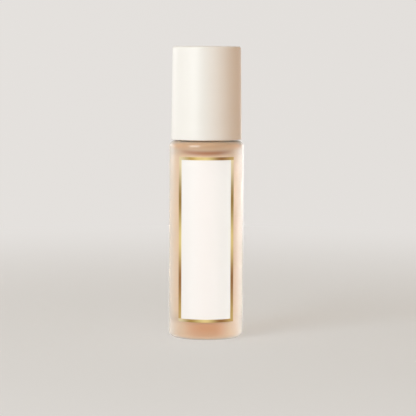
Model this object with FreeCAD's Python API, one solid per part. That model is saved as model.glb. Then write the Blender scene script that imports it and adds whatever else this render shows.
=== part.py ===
import FreeCAD, Part
import math
import os

# Roll-on perfume bottle: a glass bottle with a ball roller pressed into its neck and a screw cap over it.
# Millimetres, +Z up, origin at the centre of the base, label facing -Y.

# Bottle body
body_diameter = 20.0
body_height = 53.0            # base to the flat of the shoulder
wall_thickness = 1.6
floor_thickness = 4.0         # heavy glass foot
shoulder_thickness = 1.8
heel_radius = 1.4
shoulder_radius = 1.5
inner_floor_radius = 2.2
inner_shoulder_radius = 1.6
foot_ring_width = 2.0         # flat ring that the bottle stands on
push_up_depth = 0.6           # hollow under the base, inside the foot ring
push_up_slope = 1.2           # width of the slope from the ring up to the hollow
push_up_rounding = 0.5

# Bottle neck
neck_height = 12.5
neck_wall = 1.3
neck_root_radius = 0.5
land_rounding = 0.35          # rounded edges of the neck's top
throat_radius = 0.8           # where the bore opens into the body
bead_rise = 1.2               # handling bead above the shoulder
bead_height = 1.5
bead_rounding = 0.4
thread_depth = 0.6            # the bead stands out as far as the thread does

# Roller ball and the housing that holds it
ball_diameter = 9.5
ball_clearance = 0.1          # ball to socket
ball_rise = 1.0               # ball centre above the neck's top
socket_wall = 0.6             # housing wall at the ball's equator
lip_rise = 2.6                # top of the retaining lip above the ball's centre
lip_width = 1.1
collar_wall = 1.1
flange_thickness = 1.0
flange_inset = 0.25           # flange edge inside the neck's outside
housing_rounding = 0.3
plug_length = 7.5
plug_clearance = 0.1          # plug wall to bore
plug_lead_in = 0.4
plug_lead_in_height = 1.0
skirt_wall = 0.8
web_thickness = 1.0           # floor under the ball
feed_hole_diameter = 6.2
feed_groove_count = 6
feed_groove_width = 0.9
feed_groove_depth = 0.3
feed_groove_drop = 0.8        # grooves end this far below the ball's equator
grip_bead_count = 3
grip_bead_pitch = 1.5
grip_bead_height = 0.8
grip_bead_clearance = 0.02    # bead crest to bore
grip_bead_rounding = 0.1

# Screw cap: outer shell, threaded liner and seal
cap_gap = 0.3                 # cap foot above the shoulder
cap_wall = 0.8
cap_roof = 1.2
cap_draft = 0.7               # degrees
cap_edge_radius = 0.6
cap_foot_rounding = 0.2
crown_space = 3.35            # between the liner and the roof of the shell
crown_rib_count = 8
crown_rib_thickness = 0.8
crown_rib_inner_radius = 2.5
liner_fit = 0.03              # liner to shell
liner_wall = 1.0
liner_roof = 1.0
liner_recess = 0.6            # liner foot above the cap foot
liner_mouth = 0.4             # chamfer at the liner's mouth
liner_rounding = 0.15
thread_clearance = 0.2        # thread crest to the liner's bore
seal_side_gap = 0.1
seal_lip_gap = 0.2            # seal to the housing's lip
seal_ball_gap = 0.1
seal_cover = 1.4              # seal thickness over the ball
seal_flange = 1.2
seal_boss_wall = 1.1
seal_boss_flare = 0.5
seal_rounding = 0.3
snap_bead_depth = 0.2         # ring in the liner that holds the seal up
snap_bead_height = 0.6
snap_bead_gap = 0.15

# Perfume, label and foil border
fill_gap = 0.05               # fill to glass
ullage = 0.2                  # fill level below the straight part of the inner wall
label_width = 16.0            # along the curve
label_foot_margin = 3.45      # above the heel's rounding
label_head_margin = 2.55      # below the shoulder's rounding
label_thickness = 0.12
adhesive_thickness = 0.02
foil_thickness = 0.04
foil_side_width = 0.95
foil_end_width = 0.8

# Sizes and places that follow from those above
body_radius = body_diameter / 2
inner_radius = body_radius - wall_thickness
inner_top = body_height - shoulder_thickness
neck_top = body_height + neck_height
ball_radius = ball_diameter / 2
socket_radius = ball_radius + ball_clearance
bore_radius = socket_radius + socket_wall + plug_clearance
neck_radius = bore_radius + neck_wall
thread_radius = neck_radius + thread_depth
ball_height = neck_top + ball_rise
ball_top = ball_height + ball_radius
lip_top = ball_height + lip_rise
lip_opening_radius = math.sqrt(socket_radius**2 - lip_rise**2)
plug_radius = bore_radius - plug_clearance
liner_bore_radius = thread_radius + thread_clearance
cap_foot = body_height + cap_gap
shell_inner_radius = liner_bore_radius + liner_wall + liner_fit
cap_foot_radius = shell_inner_radius + cap_wall
seal_foot = lip_top + seal_lip_gap
seal_top = ball_top + seal_ball_gap + seal_cover
liner_foot = cap_foot + liner_recess
liner_top = seal_top + liner_roof
shell_ceiling = liner_top + crown_space
cap_top = shell_ceiling + cap_roof
fill_level = inner_top - inner_shoulder_radius - ullage
label_foot = heel_radius + label_foot_margin
label_head = body_height - shoulder_radius - label_head_margin
label_inner_radius = body_radius + adhesive_thickness
label_outer_radius = label_inner_radius + label_thickness

origin = FreeCAD.Vector(0, 0, 0)
upward = FreeCAD.Vector(0, 0, 1)
full_turn = 360
label_facing = -90            # degrees about +Z from +X


def rounded_outline(corners):
    """Closed wire in the XZ plane through (radius, height, rounding) corners, rounded by tangent arcs."""
    places = [FreeCAD.Vector(radius, 0, height) for radius, height, _ in corners]
    bends = []
    for index, (_, _, rounding) in enumerate(corners):
        here = places[index]
        back = (places[index - 1] - here).normalize()
        onward = (places[(index + 1) % len(places)] - here).normalize()
        if not rounding:
            bends.append((here, None, here))
            continue
        half_angle = back.getAngle(onward) / 2
        run = rounding / math.tan(half_angle)
        inward = (back + onward).normalize()
        crown = here + inward * (rounding / math.sin(half_angle) - rounding)
        bends.append((here + back * run, crown, here + onward * run))
    edges = []
    for index, (start, crown, end) in enumerate(bends):
        if crown is not None:
            edges.append(Part.Arc(start, crown, end).toShape())
        edges.append(Part.LineSegment(end, bends[(index + 1) % len(bends)][0]).toShape())
    return Part.Wire(edges)


def turned(corners):
    """Solid of revolution about Z."""
    return Part.Face(rounded_outline(corners)).revolve(origin, upward, full_turn)


def ball(radius):
    """Sphere about the roller's centre."""
    return Part.makeSphere(radius, FreeCAD.Vector(0, 0, ball_height))


def spread_round(shape, count):
    """Copies of a shape, evenly spaced about Z."""
    copies = []
    for index in range(count):
        copy = shape.copy()
        copy.rotate(origin, upward, index * full_turn / count)
        copies.append(copy)
    return copies


def drafted(foot_radius, height):
    """Radius of a cap wall at a height, with the mould's draft from the cap's foot."""
    return foot_radius - (height - cap_foot) * math.tan(math.radians(cap_draft))


def wrapped_panel(inner, outer, foot, head, width):
    """Sheet wrapped on the body, centred on the label's facing; width is measured on the glass."""
    corners = [(inner, foot, 0), (outer, foot, 0), (outer, head, 0), (inner, head, 0)]
    angle = math.degrees(width / body_radius)
    panel = Part.Face(rounded_outline(corners)).revolve(origin, upward, angle)
    panel.rotate(origin, upward, label_facing - angle / 2)
    return panel


def glass_bottle():
    """Heavy-footed glass bottle: hollow base, straight body, flat shoulder, neck with a handling bead."""
    ring_inner_radius = body_radius - heel_radius - foot_ring_width
    bead_foot = body_height + bead_rise
    return turned([
        (0, push_up_depth, 0),
        (ring_inner_radius - push_up_slope, push_up_depth, push_up_rounding),
        (ring_inner_radius, 0, push_up_rounding),
        (body_radius, 0, heel_radius),
        (body_radius, body_height, shoulder_radius),
        (neck_radius, body_height, neck_root_radius),
        (neck_radius, bead_foot, 0),
        (thread_radius, bead_foot, bead_rounding),
        (thread_radius, bead_foot + bead_height, bead_rounding),
        (neck_radius, bead_foot + bead_height, 0),
        (neck_radius, neck_top, land_rounding),
        (bore_radius, neck_top, land_rounding),
        (bore_radius, inner_top, throat_radius),
        (inner_radius, inner_top, inner_shoulder_radius),
        (inner_radius, floor_thickness, inner_floor_radius),
        (0, floor_thickness, 0),
    ])


def perfume_fill():
    """The perfume up to its level."""
    fill_radius = inner_radius - fill_gap
    fill_foot = floor_thickness + fill_gap
    return turned([
        (0, fill_foot, 0),
        (fill_radius, fill_foot, inner_floor_radius - fill_gap),
        (fill_radius, fill_level, 0),
        (0, fill_level, 0),
    ])


def roller_housing():
    """Moulded plug: grip beads in the bore, a flange on the neck, a socket with a lip that keeps the ball in."""
    plug_foot = neck_top - plug_length
    skirt_inner_radius = plug_radius - skirt_wall
    web_foot = ball_height - socket_radius - web_thickness
    flange_radius = neck_radius - flange_inset
    flange_top = neck_top + flange_thickness
    feed_radius = feed_hole_diameter / 2
    corners = [
        (skirt_inner_radius, plug_foot, 0),
        (plug_radius - plug_lead_in, plug_foot, 0),
        (plug_radius, plug_foot + plug_lead_in_height, 0),
    ]
    for index in range(grip_bead_count):
        bead_foot = plug_foot + plug_lead_in_height + grip_bead_pitch * (index + 0.5)
        corners += [
            (plug_radius, bead_foot, 0),
            (bore_radius - grip_bead_clearance, bead_foot + grip_bead_height / 2, grip_bead_rounding),
            (plug_radius, bead_foot + grip_bead_height, 0),
        ]
    corners += [
        (plug_radius, neck_top, 0),
        (flange_radius, neck_top, 0),
        (flange_radius, flange_top, housing_rounding),
        (socket_radius + collar_wall, flange_top, housing_rounding),
        (lip_opening_radius + lip_width, lip_top, housing_rounding),
        (feed_radius, lip_top, 0),
        (feed_radius, web_foot, 0),
        (skirt_inner_radius, web_foot, housing_rounding),
    ]
    groove_reach = socket_radius + feed_groove_depth
    slot = Part.makeBox(
        groove_reach,
        feed_groove_width,
        groove_reach - feed_groove_drop,
        FreeCAD.Vector(0, -feed_groove_width / 2, ball_height - groove_reach),
    )
    grooves = ball(groove_reach).common(Part.makeCompound(spread_round(slot, feed_groove_count)))
    return turned(corners).cut(ball(socket_radius)).cut(grooves).removeSplitter()


def roller_ball():
    """Polished steel ball."""
    return ball(ball_radius)


def cap_seal():
    """Soft plug under the liner's roof, hollowed to sit round the ball."""
    recess_radius = ball_radius + seal_ball_gap
    boss_radius = math.sqrt(recess_radius**2 - (seal_foot - ball_height) ** 2) + seal_boss_wall
    seal_radius = liner_bore_radius - seal_side_gap
    flange_foot = seal_top - seal_flange
    plug = turned([
        (0, seal_foot, 0),
        (boss_radius, seal_foot, seal_rounding),
        (boss_radius + seal_boss_flare, flange_foot, seal_rounding),
        (seal_radius, flange_foot, seal_rounding),
        (seal_radius, seal_top, seal_rounding),
        (0, seal_top, 0),
    ])
    return plug.cut(ball(recess_radius))


def cap_liner():
    """Inner cap that screws on the neck, with a snap bead that holds the seal under its roof."""
    outer_foot_radius = liner_bore_radius + liner_wall
    snap_top = seal_top - seal_flange - snap_bead_gap
    return turned([
        (0, seal_top, 0),
        (liner_bore_radius, seal_top, 0),
        (liner_bore_radius, snap_top, 0),
        (liner_bore_radius - snap_bead_depth, snap_top - snap_bead_height / 2, 0),
        (liner_bore_radius, snap_top - snap_bead_height, 0),
        (liner_bore_radius, liner_foot + liner_mouth, 0),
        (liner_bore_radius + liner_mouth, liner_foot, liner_rounding),
        (drafted(outer_foot_radius, liner_foot), liner_foot, liner_rounding),
        (drafted(outer_foot_radius, liner_top), liner_top, liner_rounding),
        (0, liner_top, 0),
    ])


def cap_shell():
    """Smooth outer cap, drafted to its top, with crown ribs that stop the liner."""
    shell = turned([
        (0, shell_ceiling, 0),
        (drafted(shell_inner_radius, shell_ceiling), shell_ceiling, cap_edge_radius),
        (shell_inner_radius, cap_foot, cap_foot_rounding),
        (cap_foot_radius, cap_foot, cap_foot_rounding),
        (drafted(cap_foot_radius, cap_top), cap_top, cap_edge_radius),
        (0, cap_top, 0),
    ])
    rib_reach = drafted(shell_inner_radius, shell_ceiling) + cap_wall / 2
    rib = Part.makeBox(
        rib_reach - crown_rib_inner_radius,
        crown_rib_thickness,
        crown_space + cap_roof / 2,
        FreeCAD.Vector(crown_rib_inner_radius, -crown_rib_thickness / 2, liner_top),
    )
    return shell.fuse(spread_round(rib, crown_rib_count)).removeSplitter()


def front_label():
    """White label, stuck to the front of the body."""
    return wrapped_panel(label_inner_radius, label_outer_radius, label_foot, label_head, label_width)


def label_foil():
    """Gold border stamped along the four edges of the label."""
    outer_radius = label_outer_radius + foil_thickness
    border = wrapped_panel(label_outer_radius, outer_radius, label_foot, label_head, label_width)
    window = wrapped_panel(
        label_outer_radius - foil_thickness,
        outer_radius + foil_thickness,
        label_foot + foil_end_width,
        label_head - foil_end_width,
        label_width - 2 * foil_side_width,
    )
    return border.cut(window)


def main():
    pieces = (
        glass_bottle,
        perfume_fill,
        roller_housing,
        roller_ball,
        cap_seal,
        cap_liner,
        cap_shell,
        front_label,
        label_foil,
    )
    os.makedirs("parts", exist_ok=True)
    for piece in pieces:
        shape = piece()
        if not shape.isValid() or len(shape.Solids) != 1:
            raise ValueError(f"{piece.__name__} is not one valid solid")
        shape.Solids[0].exportStep(f"parts/{piece.__name__}.step")
        print(f"{piece.__name__}: {shape.Volume:.1f} mm3")


main()
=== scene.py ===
import bmesh
import bpy
import math
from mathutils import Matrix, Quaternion, Vector


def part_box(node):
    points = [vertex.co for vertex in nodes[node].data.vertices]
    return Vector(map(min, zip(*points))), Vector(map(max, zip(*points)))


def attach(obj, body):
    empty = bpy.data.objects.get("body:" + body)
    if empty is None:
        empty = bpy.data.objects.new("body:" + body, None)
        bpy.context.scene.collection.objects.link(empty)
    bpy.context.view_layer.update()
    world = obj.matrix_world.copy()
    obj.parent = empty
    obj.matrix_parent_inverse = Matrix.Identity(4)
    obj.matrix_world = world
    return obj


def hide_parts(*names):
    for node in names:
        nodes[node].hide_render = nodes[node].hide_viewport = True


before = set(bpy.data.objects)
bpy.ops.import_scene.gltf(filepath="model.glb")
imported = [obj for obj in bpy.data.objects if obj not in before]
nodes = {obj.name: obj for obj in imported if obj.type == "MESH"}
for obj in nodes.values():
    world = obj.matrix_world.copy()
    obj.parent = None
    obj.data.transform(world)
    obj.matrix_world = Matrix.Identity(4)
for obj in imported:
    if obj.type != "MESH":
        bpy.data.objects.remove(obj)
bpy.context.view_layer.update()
mm = 0.001
fullTurn = math.tau
print("frame loaded:", ", ".join(sorted(nodes)))


# Mesh helpers: sizes come in as millimetres, meshes are in metres

def finishPiece(bm, name, body, materials, sharpDegrees=35, mergeDistance=0.0005):
    bmesh.ops.remove_doubles(bm, verts=bm.verts, dist=mergeDistance * mm)
    bmesh.ops.recalc_face_normals(bm, faces=bm.faces)
    for face in bm.faces:
        face.smooth = True
    for edge in bm.edges:
        if edge.is_manifold and edge.calc_face_angle() > math.radians(sharpDegrees):
            edge.smooth = False
    mesh = bpy.data.meshes.new(name)
    bm.to_mesh(mesh)
    bm.free()
    piece = bpy.data.objects.new(name, mesh)
    bpy.context.collection.objects.link(piece)
    for material in materials:
        mesh.materials.append(material)
    weighted = piece.modifiers.new("flat faces stay flat", "WEIGHTED_NORMAL")
    weighted.keep_sharp = True
    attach(piece, body)
    return piece


def turnProfile(bm, corners, steps=160, segments=8, finish=0):
    # corners are (radius, height, rounding); the wire is rounded, then spun about Z
    oldVerts = set(bm.verts)
    oldEdges = set(bm.edges)
    oldFaces = set(bm.faces)
    places = [Vector((radius * mm, 0, height * mm)) for radius, height, _ in corners]
    verts = [bm.verts.new(place) for place in places]
    for first, second in zip(verts, verts[1:]):
        bm.edges.new((first, second))
    for index in range(1, len(corners) - 1):
        rounding = corners[index][2]
        if not rounding:
            continue
        back = places[index - 1] - places[index]
        onward = places[index + 1] - places[index]
        run = rounding * mm / math.tan(back.angle(onward) / 2)
        bmesh.ops.bevel(
            bm, geom=[verts[index]], offset=run, offset_type="OFFSET", affect="VERTICES",
            segments=segments, profile=0.5, material=-1,
        )
    wire = [vert for vert in bm.verts if vert not in oldVerts]
    wire += [edge for edge in bm.edges if edge not in oldEdges]
    bmesh.ops.spin(
        bm, geom=wire, cent=(0, 0, 0), axis=(0, 0, 1), angle=fullTurn, steps=steps, use_merge=True,
    )
    for face in bm.faces:
        if face not in oldFaces:
            face.material_index = finish


def spunSheet(bm, uvLayer, radius, foot, head, fromAngle, toAngle, alongHeight, steps):
    # a strip of the body's surface; its UV runs 0 to 1 along the strip and across it
    before = set(bm.faces)
    low = bm.verts.new((radius * mm * math.cos(fromAngle), radius * mm * math.sin(fromAngle), foot * mm))
    high = bm.verts.new((low.co.x, low.co.y, head * mm))
    edge = bm.edges.new((low, high))
    bmesh.ops.spin(
        bm, geom=[low, high, edge], cent=(0, 0, 0), axis=(0, 0, 1),
        angle=toAngle - fromAngle, steps=steps, use_merge=False,
    )
    faces = [face for face in bm.faces if face not in before]
    for face in faces:
        for loop in face.loops:
            place = loop.vert.co
            across = (math.atan2(place.y, place.x) - fromAngle) / (toAngle - fromAngle)
            down = (head * mm - place.z) / ((head - foot) * mm)
            loop[uvLayer].uv = (down, across) if alongHeight else (across, down)
    return faces


# Node helpers

def addNode(tree, kind, settings=None, **values):
    node = tree.nodes.new(kind)
    for name, value in (settings or {}).items():
        setattr(node, name, value)
    for socketName, value in values.items():
        node.inputs[socketName.replace("_", " ")].default_value = value
    return node


def addMath(tree, operation, *terms, clamp=False):
    # terms are numbers or sockets
    node = addNode(tree, "ShaderNodeMath", {"operation": operation, "use_clamp": clamp})
    for socket, term in zip(node.inputs, terms):
        if isinstance(term, (int, float)):
            socket.default_value = term
        else:
            tree.links.new(term, socket)
    return node.outputs[0]


def mapValue(tree, value, fromMin, fromMax, toMin=0.0, toMax=1.0, kind="SMOOTHSTEP"):
    node = addNode(
        tree, "ShaderNodeMapRange", {"interpolation_type": kind}, From_Min=fromMin, From_Max=fromMax,
        To_Min=toMin, To_Max=toMax,
    )
    tree.links.new(value, node.inputs["Value"])
    return node.outputs["Result"]


def splitVector(tree, vector):
    split = addNode(tree, "ShaderNodeSeparateXYZ")
    tree.links.new(vector, split.inputs["Vector"])
    return split.outputs


def mixColours(tree, factor, dark, light):
    # dark and light are colours or sockets; 6, 7 and 2 are the Mix node's colour sockets
    mix = addNode(tree, "ShaderNodeMix", {"data_type": "RGBA"})
    tree.links.new(factor, mix.inputs["Factor"])
    for socket, colour in ((mix.inputs[6], dark), (mix.inputs[7], light)):
        if isinstance(colour, tuple):
            socket.default_value = (*colour, 1)
        else:
            tree.links.new(colour, socket)
    return mix.outputs[2]


def mixSurface(tree, factor, first, second, outputName):
    mix = addNode(tree, "ShaderNodeMixShader")
    tree.links.new(factor, mix.inputs["Fac"])
    tree.links.new(first, mix.inputs[1])
    tree.links.new(second, mix.inputs[2])
    tree.links.new(mix.outputs["Shader"], tree.nodes[outputName].inputs["Surface"])


def surfaceGrainGroup():
    # fine grain for roughness and bump, with a slow drift so that no wide face is even
    group = bpy.data.node_groups.new("surface grain", "ShaderNodeTree")
    for name in ("Roughness", "Variation", "Grain Scale", "Drift Scale"):
        group.interface.new_socket(name, in_out="INPUT", socket_type="NodeSocketFloat")
    for name in ("Roughness", "Height", "Drift"):
        group.interface.new_socket(name, in_out="OUTPUT", socket_type="NodeSocketFloat")
    groupIn = group.nodes.new("NodeGroupInput").outputs
    groupOut = group.nodes.new("NodeGroupOutput").inputs
    links = group.links
    place = addNode(group, "ShaderNodeTexCoord")
    fine = addNode(group, "ShaderNodeTexNoise", Detail=3.0, Roughness=0.6)
    slow = addNode(group, "ShaderNodeTexNoise", Detail=2.0, Roughness=0.5)
    links.new(place.outputs["Object"], fine.inputs["Vector"])
    links.new(place.outputs["Object"], slow.inputs["Vector"])
    links.new(groupIn["Grain Scale"], fine.inputs["Scale"])
    links.new(groupIn["Drift Scale"], slow.inputs["Scale"])
    both = addMath(group, "ADD", fine.outputs[0], slow.outputs[0])
    centred = addMath(group, "SUBTRACT", both, 1.0)
    roughness = addMath(group, "MULTIPLY_ADD", centred, groupIn["Variation"], groupIn["Roughness"])
    links.new(roughness, groupOut["Roughness"])
    links.new(fine.outputs[0], groupOut["Height"])
    links.new(slow.outputs[0], groupOut["Drift"])
    return group


surfaceGrain = surfaceGrainGroup()


# Materials: each finish has the values of its grain beside its colours; bumpHeight is in millimetres

def newMaterial(name, **sockets):
    material = bpy.data.materials.new(name)
    material.use_nodes = True
    tree = material.node_tree
    shader = tree.nodes["Principled BSDF"]
    for socketName, value in sockets.items():
        shader.inputs[socketName.replace("_", " ")].default_value = value
    return material, tree, shader


def addGrain(tree, shader, finish):
    grain = addNode(
        tree, "ShaderNodeGroup", {"node_tree": surfaceGrain}, Roughness=finish["roughness"],
        Variation=finish["variation"], Grain_Scale=finish["grainScale"], Drift_Scale=finish["driftScale"],
    )
    bump = addNode(tree, "ShaderNodeBump", Strength=finish["bump"], Distance=finish["bumpHeight"] * mm)
    tree.links.new(grain.outputs["Roughness"], shader.inputs["Roughness"])
    tree.links.new(grain.outputs["Height"], bump.inputs["Height"])
    tree.links.new(bump.outputs["Normal"], shader.inputs["Normal"])
    return grain.outputs["Drift"]


def grainedMaterial(name, finish, **sockets):
    material, tree, shader = newMaterial(name, **sockets)
    drift = addGrain(tree, shader, finish)
    tree.links.new(mixColours(tree, drift, finish["dark"], finish["light"]), shader.inputs["Base Color"])
    return material


def passLight(material, shade):
    # lamp light reaches what lies behind the glass, tinted by it
    tree = material.node_tree
    path = addNode(tree, "ShaderNodeLightPath")
    through = addNode(tree, "ShaderNodeBsdfTransparent", Color=(*shade, 1))
    mixSurface(tree, path.outputs["Is Shadow Ray"], tree.nodes["Principled BSDF"].outputs["BSDF"],
               through.outputs["BSDF"], "Material Output")


def rampAlong(tree, shader, stops):
    # colours along the piece's own UV map; stops are (position, colour)
    uv = addNode(tree, "ShaderNodeUVMap", {"uv_map": "along"})
    ramp = addNode(tree, "ShaderNodeValToRGB")
    tree.links.new(splitVector(tree, uv.outputs["UV"])["X"], ramp.inputs["Fac"])
    ramp.color_ramp.interpolation = "EASE"
    elements = ramp.color_ramp.elements
    for position, _ in stops[1:-1]:
        elements.new(position)
    for element, (position, colour) in zip(elements, stops):
        element.position = position
        element.color = (*colour, 1)
    tree.links.new(ramp.outputs["Color"], shader.inputs["Base Color"])


capFinish = {"light": (0.925, 0.918, 0.905), "dark": (0.905, 0.895, 0.875), "roughness": 0.36,
             "variation": 0.06, "grainScale": 2600.0, "driftScale": 140.0, "bump": 0.25, "bumpHeight": 0.01}
linerFinish = {"light": (0.86, 0.85, 0.82), "dark": (0.82, 0.81, 0.78), "roughness": 0.42, "variation": 0.06,
               "grainScale": 2000.0, "driftScale": 140.0, "bump": 0.25, "bumpHeight": 0.012}
sealFinish = {"light": (0.84, 0.84, 0.82), "dark": (0.80, 0.80, 0.77), "roughness": 0.5, "variation": 0.06,
              "grainScale": 1800.0, "driftScale": 140.0, "bump": 0.25, "bumpHeight": 0.015}
housingFinish = {"light": (0.85, 0.84, 0.81), "dark": (0.80, 0.79, 0.76), "roughness": 0.38,
                 "variation": 0.06, "grainScale": 2200.0, "driftScale": 140.0, "bump": 0.25,
                 "bumpHeight": 0.01}
steelFinish = {"light": (0.74, 0.74, 0.74), "dark": (0.62, 0.62, 0.63), "roughness": 0.09, "variation": 0.05,
               "grainScale": 4000.0, "driftScale": 500.0, "bump": 0.05, "bumpHeight": 0.002}
capPlastic = grainedMaterial("satin cap plastic", capFinish)
linerPlastic = grainedMaterial("liner plastic", linerFinish)
sealPlastic = grainedMaterial("soft seal plastic", sealFinish)
housingPlastic = grainedMaterial("housing plastic", housingFinish)
ballSteel = grainedMaterial("polished ball steel", steelFinish, Metallic=1.0)

# the haze colour is a painted sheen, laid on where the glass is seen slantwise
glassFinish = {"tint": (0.84, 0.65, 0.48), "deepTint": (0.82, 0.62, 0.45), "paintedSheen": (0.83, 0.775, 0.70),
               "paintedSheenFrom": 0.2, "paintedSheenTo": 0.7, "slantBlend": 0.5, "transmission": 0.4, "ior": 1.5,
               "coat": 0.85, "coatRoughness": 0.12, "shade": (0.72, 0.64, 0.56), "roughness": 0.36,
               "variation": 0.08, "grainScale": 5000.0, "driftScale": 160.0, "bump": 0.2, "bumpHeight": 0.01}
clearFinish = {"light": (0.99, 0.985, 0.98), "dark": (0.96, 0.95, 0.94), "ior": 1.5, "roughness": 0.03,
               "variation": 0.02, "grainScale": 900.0, "driftScale": 120.0, "bump": 0.03, "bumpHeight": 0.01}

# painted bands on the frosting: painted shade at the perfume's level and along its floor over the thick
# foot, and a painted warm reflection on the shoulder;
# a tone has half its strength at halfWidth, and fullTo and goneFrom are slants: 0 head-on, 1 at the outline
levelPaintedShade = {"colour": (0.49, 0.17, 0.06), "strength": 0.88, "height": 50.0, "rise": 1.7, "halfWidth": 0.55,
             "fullTo": 0.02, "goneFrom": 0.4}
floorPaintedShade = {"colour": (0.66, 0.31, 0.145), "strength": 0.9, "height": 3.3, "rise": 0.5, "halfWidth": 2.5,
             "fullTo": 0.0, "goneFrom": 0.27}
# the shoulder band is a painted warm reflection
shoulderPaintedReflection = {"colour": (0.93, 0.57, 0.32), "strength": 0.85, "height": 51.9, "rise": 0.3,
                "halfWidth": 0.8, "fullTo": 0.4, "goneFrom": 0.9}
neckTone = {"colour": (0.84, 0.80, 0.74), "from": 53.2, "to": 55.5}    # no perfume behind the neck


def paintedBand(tree, height, slant, tint, tone):
    # a soft painted band round the body that lifts towards its outline and fades out there; it lays on the
    # painted shade and painted reflection of the tones
    lifted = tone["height"] + tone["rise"]
    middle = mapValue(tree, slant, 0.0, 1.0, tone["height"] * mm, lifted * mm, "LINEAR")
    away = addMath(tree, "ABSOLUTE", addMath(tree, "SUBTRACT", height, middle))
    band = mapValue(tree, away, 2 * tone["halfWidth"] * mm, 0.0, toMax=tone["strength"])
    fade = mapValue(tree, slant, tone["goneFrom"], tone["fullTo"])
    return mixColours(tree, addMath(tree, "MULTIPLY", band, fade), tint, tone["colour"])


def etchedGlass():
    # a painted sheen: the frosting's colour is painted whiter the more slantwise it is seen
    material, tree, shader = newMaterial(
        "etched glass", Transmission_Weight=glassFinish["transmission"], IOR=glassFinish["ior"],
        Coat_Weight=glassFinish["coat"], Coat_Roughness=glassFinish["coatRoughness"],
    )
    drift = addGrain(tree, shader, glassFinish)
    tint = mixColours(tree, drift, glassFinish["deepTint"], glassFinish["tint"])
    slant = addNode(tree, "ShaderNodeLayerWeight", Blend=glassFinish["slantBlend"]).outputs["Facing"]
    # painted sheen: the colour turns paler towards the outline
    paintedSheen = mapValue(tree, slant, glassFinish["paintedSheenFrom"], glassFinish["paintedSheenTo"])
    tint = mixColours(tree, paintedSheen, tint, glassFinish["paintedSheen"])
    coordinates = addNode(tree, "ShaderNodeTexCoord")
    height = splitVector(tree, coordinates.outputs["Object"])["Z"]
    # painted shade at the perfume's level and floor, and a painted warm reflection on the shoulder
    for tone in (levelPaintedShade, floorPaintedShade, shoulderPaintedReflection):
        tint = paintedBand(tree, height, slant, tint, tone)
    bare = mapValue(tree, height, neckTone["from"] * mm, neckTone["to"] * mm)
    tint = mixColours(tree, bare, tint, neckTone["colour"])
    tree.links.new(tint, shader.inputs["Base Color"])
    passLight(material, glassFinish["shade"])
    return material


etched = etchedGlass()
clear = grainedMaterial("clear glass inside", clearFinish, Transmission_Weight=1.0, IOR=clearFinish["ior"])
passLight(clear, (1, 1, 1))

# edge is the dark colour of painted shade at the perfume's level and floor
perfumeFinish = {"body": (0.92, 0.80, 0.63), "edge": (0.22, 0.06, 0.02), "transmission": 0.85, "ior": 1.37,
                 "roughness": 0.05, "absorbColour": (0.82, 0.44, 0.13), "density": 8.0, "topShadeBand": 1.1,
                 "footShadeBand": 2.6}


def perfumeLiquid(level, floor):
    # painted shade: the colour is darkened where its surface meets the glass, at its level and round its
    # floor
    material, tree, shader = newMaterial(
        "perfume", Transmission_Weight=perfumeFinish["transmission"], IOR=perfumeFinish["ior"],
        Roughness=perfumeFinish["roughness"],
    )
    coordinates = addNode(tree, "ShaderNodeTexCoord")
    height = splitVector(tree, coordinates.outputs["Object"])["Z"]
    tint = perfumeFinish["body"]
    for far, near in ((level - perfumeFinish["topShadeBand"], level), (floor + perfumeFinish["footShadeBand"], floor)):
        band = mapValue(tree, height, far * mm, near * mm)
        tint = mixColours(tree, band, tint, perfumeFinish["edge"])
    tree.links.new(tint, shader.inputs["Base Color"])
    absorb = addNode(tree, "ShaderNodeVolumeAbsorption", Density=perfumeFinish["density"],
                     Color=(*perfumeFinish["absorbColour"], 1))
    tree.links.new(absorb.outputs["Volume"], tree.nodes["Material Output"].inputs["Volume"])
    passLight(material, (1, 1, 1))
    return material


paperFinish = {"margin": (0.935, 0.925, 0.935), "middle": (0.912, 0.874, 0.877), "blushFrom": 0.08,
               "blushPeak": 0.5, "blushTo": 0.94, "roughness": 0.55, "variation": 0.1, "grainScale": 4200.0,
               "driftScale": 260.0, "bump": 0.25, "bumpHeight": 0.012}


def labelPaper():
    # white stock, blush along its middle and whiter towards its margins
    material, tree, shader = newMaterial("label paper")
    addGrain(tree, shader, paperFinish)
    rampAlong(tree, shader, (
        (paperFinish["blushFrom"], paperFinish["margin"]),
        (paperFinish["blushPeak"], paperFinish["middle"]),
        (paperFinish["blushTo"], paperFinish["margin"]),
    ))
    return material


# the tones' bright and dark bands are painted reflection on the foil's gold
goldFinish = {"tones": ((0.87, 0.76, 0.50), (0.36, 0.23, 0.06), (0.84, 0.68, 0.30), (0.36, 0.18, 0.06),
                        (0.62, 0.43, 0.15)),    # champagne, deep gold, bright gold, bronze, warm gold
              "metallic": 0.7, "roughness": 0.32, "variation": 0.08, "grainScale": 2500.0,
              "driftScale": 300.0, "bump": 0.1, "bumpHeight": 0.004}


def goldFoil():
    # every bar of the border runs through the same tones: the foil's own gold with bright and dark bands of
    # painted reflection
    material, tree, shader = newMaterial("gold foil", Metallic=goldFinish["metallic"])
    addGrain(tree, shader, goldFinish)
    tones = goldFinish["tones"]
    rampAlong(tree, shader, [(index / (len(tones) - 1), tone) for index, tone in enumerate(tones)])
    return material


paper = labelPaper()
gold = goldFoil()
print("materials ready")


# CAD pieces that keep their shape

for nodeName, material in (
    ("cap_shell", capPlastic),
    ("cap_liner", linerPlastic),
    ("cap_seal", sealPlastic),
    ("roller_housing", housingPlastic),
    ("roller_ball", ballSteel),
):
    nodes[nodeName].data.materials.clear()
    nodes[nodeName].data.materials.append(material)
print("cap, roller and ball dressed")


# Glass bottle: etched outside, smooth inside

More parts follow.
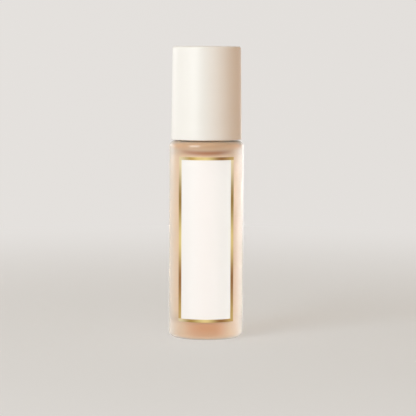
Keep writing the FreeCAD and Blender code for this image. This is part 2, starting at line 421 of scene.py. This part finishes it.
bottleSizes = {
    "wall": 1.6, "floor": 4.0, "shoulder": 53.0, "shoulderThickness": 1.8, "heel": 1.4,
    "shoulderRounding": 1.5, "innerFloorRounding": 2.2, "innerShoulderRounding": 1.6, "ringInner": 6.6,
    "pushUpSlope": 1.2, "pushUpDepth": 0.6, "pushUpRounding": 0.5, "neckRadius": 6.85, "neckRoot": 0.5,
    "boreRadius": 5.55, "beadRadius": 7.45, "beadFoot": 54.2, "beadHeight": 1.5, "beadRounding": 0.4,
    "mouthRounding": 0.35, "throatRounding": 0.8,
}
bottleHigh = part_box("glass_bottle")[1]
bodyRadius = bottleHigh.x / mm
neckTop = bottleHigh.z / mm
neckRadius = bottleSizes["neckRadius"]
innerRadius = bodyRadius - bottleSizes["wall"]
innerTop = bottleSizes["shoulder"] - bottleSizes["shoulderThickness"]
beadTop = bottleSizes["beadFoot"] + bottleSizes["beadHeight"]
mouthMiddle = (neckRadius + bottleSizes["boreRadius"]) / 2
pushUpRadius = bottleSizes["ringInner"] - bottleSizes["pushUpSlope"]
bm = bmesh.new()
turnProfile(bm, [
    (0, bottleSizes["pushUpDepth"], 0),
    (pushUpRadius, bottleSizes["pushUpDepth"], bottleSizes["pushUpRounding"]),
    (bottleSizes["ringInner"], 0, bottleSizes["pushUpRounding"]),
    (bodyRadius, 0, bottleSizes["heel"]),
    (bodyRadius, bottleSizes["shoulder"], bottleSizes["shoulderRounding"]),
    (neckRadius, bottleSizes["shoulder"], bottleSizes["neckRoot"]),
    (neckRadius, bottleSizes["beadFoot"], 0),
    (bottleSizes["beadRadius"], bottleSizes["beadFoot"], bottleSizes["beadRounding"]),
    (bottleSizes["beadRadius"], beadTop, bottleSizes["beadRounding"]),
    (neckRadius, beadTop, 0),
    (neckRadius, neckTop, bottleSizes["mouthRounding"]),
    (mouthMiddle, neckTop, 0),
], finish=0)
turnProfile(bm, [
    (mouthMiddle, neckTop, 0),
    (bottleSizes["boreRadius"], neckTop, bottleSizes["mouthRounding"]),
    (bottleSizes["boreRadius"], innerTop, bottleSizes["throatRounding"]),
    (innerRadius, innerTop, bottleSizes["innerShoulderRounding"]),
    (innerRadius, bottleSizes["floor"], bottleSizes["innerFloorRounding"]),
    (0, bottleSizes["floor"], 0),
], finish=1)
bottle = finishPiece(bm, "frostedBottle", "bottle", [etched, clear])
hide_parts("glass_bottle")
print("bottle:", len(bottle.data.polygons), "faces")


# Screw threads: one on the neck, one in the liner

threadSizes = {"lead": 3.0, "rootWidth": 1.5, "crestWidth": 0.5, "bite": 0.1, "stepsPerTurn": 72,
               "runOut": 0.12, "endSink": 0.95}
neckThreadSizes = {"root": neckRadius, "crest": 7.42, "foot": 57.4, "turns": 1.75, "startTurn": 0.1}
linerThreadSizes = {"root": 7.65, "crest": 7.1, "foot": 58.9, "turns": 1.5, "startTurn": 0.1}


def threadRidge(name, sizes, body, material):
    # a trapezoid carried up a right-handed helix, fading out at both ends
    outward = 1 if sizes["crest"] > sizes["root"] else -1
    sunkRoot = sizes["root"] - outward * threadSizes["bite"]
    bm = bmesh.new()
    section = [bm.verts.new((radius * mm, 0, (sizes["foot"] + rise) * mm)) for radius, rise in (
        (sunkRoot, -threadSizes["rootWidth"] / 2),
        (sizes["crest"], -threadSizes["crestWidth"] / 2),
        (sizes["crest"], threadSizes["crestWidth"] / 2),
        (sunkRoot, threadSizes["rootWidth"] / 2),
    )]
    crestCorners = (1, 2)
    bm.faces.new(section)
    bmesh.ops.rotate(bm, verts=section, cent=(0, 0, 0),
                     matrix=Quaternion((0, 0, 1), sizes["startTurn"] * fullTurn).to_matrix())
    steps = round(sizes["turns"] * threadSizes["stepsPerTurn"])
    bmesh.ops.spin(
        bm, geom=bm.verts[:] + bm.edges[:] + bm.faces[:], cent=(0, 0, 0), axis=(0, 0, 1),
        dvec=(0, 0, threadSizes["lead"] * mm / threadSizes["stepsPerTurn"]),
        angle=sizes["turns"] * fullTurn, steps=steps, use_merge=False,
    )
    depth = (sizes["crest"] - sunkRoot) * mm
    for index, vert in enumerate(bm.verts):
        ring, corner = divmod(index, len(section))
        if corner not in crestCorners:
            continue
        nearestEnd = min(ring, steps - ring) / threadSizes["stepsPerTurn"]
        sunk = max(0.0, 1 - nearestEnd / threadSizes["runOut"]) ** 2
        vert.co -= Vector((vert.co.x, vert.co.y, 0)).normalized() * depth * sunk * threadSizes["endSink"]
    return finishPiece(bm, name, body, [material])


neckThread = threadRidge("neckThread", neckThreadSizes, "bottle", etched)
linerThread = threadRidge("linerThread", linerThreadSizes, "cap", linerPlastic)
print("threads:", len(neckThread.data.polygons), "and", len(linerThread.data.polygons), "faces")


# Perfume: fills the inside up to its level and climbs the wall a little

fillSizes = {"overlap": 0.02, "climb": 0.7, "reach": 1.1}
fillRadius = innerRadius + fillSizes["overlap"]
fillFloor = bottleSizes["floor"] - fillSizes["overlap"]
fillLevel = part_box("perfume_fill")[1].z / mm
fillEdge = fillLevel + fillSizes["climb"]
perfume = perfumeLiquid(fillEdge, fillFloor)
bm = bmesh.new()
turnProfile(bm, [
    (0, fillFloor, 0),
    (fillRadius, fillFloor, bottleSizes["innerFloorRounding"]),
    (fillRadius, fillEdge, 0),
    (fillRadius - fillSizes["reach"], fillLevel, fillSizes["climb"]),
    (0, fillLevel, 0),
])
fill = finishPiece(bm, "perfumeLiquid", "bottle", [perfume])
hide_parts("perfume_fill")
print("perfume level", round(fillLevel, 2), "mm")


# Label and its foil border

labelLow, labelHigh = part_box("front_label")
labelSizes = {"thickness": 0.12, "steps": 96}
foilSizes = {"sideWidth": 0.95, "endWidth": 0.8, "thickness": 0.04, "sideSteps": 8}
labelRadius = -labelLow.y / mm
labelFoot = labelLow.z / mm
labelHead = labelHigh.z / mm
labelHalfAngle = math.asin(labelHigh.x / -labelLow.y)
facing = -fullTurn / 4
labelLeft = facing - labelHalfAngle
labelRight = facing + labelHalfAngle

bm = bmesh.new()
along = bm.loops.layers.uv.new("along")
sheetFaces = spunSheet(
    bm, along, labelRadius, labelFoot, labelHead, labelLeft, labelRight, False, labelSizes["steps"])
bmesh.ops.recalc_face_normals(bm, faces=sheetFaces)
bmesh.ops.solidify(bm, geom=sheetFaces, thickness=labelSizes["thickness"] * mm)
label = finishPiece(bm, "labelSheet", "bottle", [paper])
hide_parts("front_label")

foilRadius = -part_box("label_foil")[0].y / mm
sideAngle = foilSizes["sideWidth"] / bodyRadius
innerFoot = labelFoot + foilSizes["endWidth"]
innerHead = labelHead - foilSizes["endWidth"]
bars = (
    (innerHead, labelHead, labelLeft, labelRight, False, labelSizes["steps"]),
    (labelFoot, innerFoot, labelLeft, labelRight, False, labelSizes["steps"]),
    (innerFoot, innerHead, labelLeft, labelLeft + sideAngle, True, foilSizes["sideSteps"]),
    (innerFoot, innerHead, labelRight - sideAngle, labelRight, True, foilSizes["sideSteps"]),
)
bm = bmesh.new()
along = bm.loops.layers.uv.new("along")
for barFoot, barHead, fromAngle, toAngle, upright, steps in bars:
    barFaces = spunSheet(bm, along, foilRadius, barFoot, barHead, fromAngle, toAngle, upright, steps)
    bmesh.ops.recalc_face_normals(bm, faces=barFaces)
    bmesh.ops.solidify(bm, geom=barFaces, thickness=foilSizes["thickness"] * mm)
foil = finishPiece(bm, "foilBorder", "bottle", [gold])
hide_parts("label_foil")
print("label", round(labelHead - labelFoot, 2), "mm tall, foil border of", len(bars), "bars")


# Stage, in metres

stageSizes = {"front": -1.5, "bend": 0.9, "top": 1.6, "halfWidth": 2.2, "sweep": 0.5, "sweepSegments": 24,
              "paper": (0.86, 0.89, 0.93), "paperRoughness": 0.9, "paperShine": 0.1,
              "glow": (0.86, 0.83, 0.80), "glowLeft": 0.95, "glowRight": 0.85, "glowReach": 1.0,
              "shadowRadius": 0.05, "clearRadius": 0.35, "nearGlow": 0.5}


def backdropRays(tree, cameraShare=1.0):
    # camera, mirror and glass rays, which see the surroundings evenly lit
    path = addNode(tree, "ShaderNodeLightPath")
    seen = addMath(tree, "MULTIPLY", path.outputs["Is Camera Ray"], cameraShare)
    mirrored = addMath(tree, "ADD", seen, path.outputs["Is Glossy Ray"])
    return addMath(tree, "ADD", mirrored, path.outputs["Is Transmission Ray"], clamp=True)


def sweepPaper():
    # the glow, painted brighter on the left as if lit from that side, weakens towards the object, where the
    # paper keeps its shadow
    material, tree, shader = newMaterial(
        "pale paper sweep", Base_Color=(*stageSizes["paper"], 1), Roughness=stageSizes["paperRoughness"],
        Specular_IOR_Level=stageSizes["paperShine"],
    )
    place = addNode(tree, "ShaderNodeTexCoord")
    away = addNode(tree, "ShaderNodeVectorMath", {"operation": "LENGTH"})
    tree.links.new(place.outputs["Object"], away.inputs[0])
    clearing = mapValue(tree, away.outputs["Value"], stageSizes["shadowRadius"], stageSizes["clearRadius"],
                        toMin=stageSizes["nearGlow"])
    # painted light: the glow falls from left to right, as if the sweep were lit from the left
    level = mapValue(
        tree, splitVector(tree, place.outputs["Object"])["X"], -stageSizes["glowReach"],
        stageSizes["glowReach"], stageSizes["glowLeft"], stageSizes["glowRight"], "LINEAR")
    glow = addNode(tree, "ShaderNodeEmission", Color=(*stageSizes["glow"], 1))
    tree.links.new(level, glow.inputs["Strength"])
    mixSurface(tree, backdropRays(tree, clearing), shader.outputs["BSDF"], glow.outputs["Emission"],
               "Material Output")
    return material


bm = bmesh.new()
front = bm.verts.new((-stageSizes["halfWidth"], stageSizes["front"], 0))
corner = bm.verts.new((-stageSizes["halfWidth"], stageSizes["bend"], 0))
top = bm.verts.new((-stageSizes["halfWidth"], stageSizes["bend"], stageSizes["top"]))
bm.edges.new((front, corner))
bm.edges.new((corner, top))
bmesh.ops.bevel(bm, geom=[corner], offset=stageSizes["sweep"], offset_type="OFFSET", affect="VERTICES",
                segments=stageSizes["sweepSegments"], profile=0.5, material=-1)
swept = bmesh.ops.extrude_edge_only(bm, edges=bm.edges[:])["geom"]
bmesh.ops.translate(bm, verts=[item for item in swept if isinstance(item, bmesh.types.BMVert)],
                    vec=(2 * stageSizes["halfWidth"], 0, 0))
bmesh.ops.recalc_face_normals(bm, faces=bm.faces)
for face in bm.faces:
    face.smooth = True
sweepMesh = bpy.data.meshes.new("paperSweep")
bm.to_mesh(sweepMesh)
bm.free()
sweep = bpy.data.objects.new("paperSweep", sweepMesh)
sweepMesh.materials.append(sweepPaper())
bpy.context.collection.objects.link(sweep)
print("stage ready")


# Light: places and sizes in metres, power in watts, spread in degrees; only names the pieces a lamp lights

lightSizes = {
    "key": {"place": (-0.50, -0.60, 0.36), "aim": (0, 0, 0.045), "size": (0.5, 0.6), "power": 4.75,
            "colour": (0.92, 0.975, 1), "spread": 180, "mirrored": True},
    "strip": {"place": (0.24, -0.15, 0.034), "aim": (0, 0, 0.0235), "size": (0.05, 0.057), "power": 0.0036,
              "colour": (0.92, 0.98, 1), "spread": 4, "mirrored": False, "only": "glass and label"},
    "edge": {"place": (0.243, 0.14, 0.033), "aim": (0, 0, 0.0255), "size": (0.05, 0.061), "power": 0.0070,
             "colour": (1, 1, 1), "spread": 6, "mirrored": False, "only": "glass and label"},
    "rim": {"place": (0.10, 0.28, 0.026), "aim": (0.004, 0, 0.026), "size": (0.04, 0.06), "power": 0.00033,
            "colour": (1, 1, 1), "spread": 20, "mirrored": True},
    "card": {"place": (0.28, -0.04, 0.066), "aim": (0, 0, 0.066), "size": (0.05, 0.036), "power": 0.0010,
             "colour": (1, 0.35, 0.05), "spread": 4, "mirrored": False, "only": "cap"},
    "back": {"place": (-0.50, 0.50, 0.12), "aim": (0, 0, 0.04), "size": (0.4, 0.3), "power": 0.45,
             "colour": (1, 1, 1), "spread": 180, "mirrored": True},
}
litGroups = {"glass and label": (bottle, neckThread, fill, label, foil), "cap": (nodes["cap_shell"],)}
litCollections = {}
for groupName, pieces in litGroups.items():
    litCollections[groupName] = bpy.data.collections.new(groupName)
    for piece in pieces:
        litCollections[groupName].objects.link(piece)
for lightName, values in lightSizes.items():
    lamp = bpy.data.lights.new(lightName, "AREA")
    lamp.shape = "RECTANGLE"
    lamp.size, lamp.size_y = values["size"]
    lamp.energy = values["power"]
    lamp.color = values["colour"]
    lamp.spread = math.radians(values["spread"])
    holder = bpy.data.objects.new(lightName, lamp)
    holder.location = values["place"]
    holder.visible_glossy = values["mirrored"]
    if "only" in values:
        holder.light_linking.receiver_collection = litCollections[values["only"]]
    aim = Vector(values["aim"]) - Vector(values["place"])
    holder.rotation_euler = aim.to_track_quat("-Z", "Y").to_euler()
    bpy.context.collection.objects.link(holder)

worldSizes = {"fill": (1, 0.77, 0.50), "fillStrength": 0.37, "seen": (0.86, 0.83, 0.80),
              "seenStrength": 0.95}


def studioWorld():
    # a weak warm fill on the object, and a pale even surround where rays see past it
    world = bpy.data.worlds.new("studio")
    world.use_nodes = True
    tree = world.node_tree
    fillLight = tree.nodes["Background"]
    fillLight.inputs["Color"].default_value = (*worldSizes["fill"], 1)
    fillLight.inputs["Strength"].default_value = worldSizes["fillStrength"]
    seen = addNode(tree, "ShaderNodeBackground", Color=(*worldSizes["seen"], 1),
                   Strength=worldSizes["seenStrength"])
    mixSurface(tree, backdropRays(tree), fillLight.outputs["Background"], seen.outputs["Background"],
               "World Output")
    return world


bpy.context.scene.world = studioWorld()
print("light ready:", ", ".join(lightSizes))


# Camera, in metres

cameraSizes = {"distance": 0.51935, "eye": 0.07479, "aim": 0.03473, "side": 0.0005, "lens": 166.64,
               "rollDegrees": 0.22}
cameraData = bpy.data.cameras.new("camera")
cameraData.lens = cameraSizes["lens"]
camera = bpy.data.objects.new("camera", cameraData)
camera.location = (cameraSizes["side"], -cameraSizes["distance"], cameraSizes["eye"])
gaze = Vector((0, cameraSizes["distance"], cameraSizes["aim"] - cameraSizes["eye"]))
roll = Quaternion((0, 0, 1), math.radians(cameraSizes["rollDegrees"]))
camera.rotation_euler = (gaze.to_track_quat("-Z", "Y") @ roll).to_euler()
bpy.context.collection.objects.link(camera)
bpy.context.scene.camera = camera
bpy.context.scene.view_settings.view_transform = "Standard"
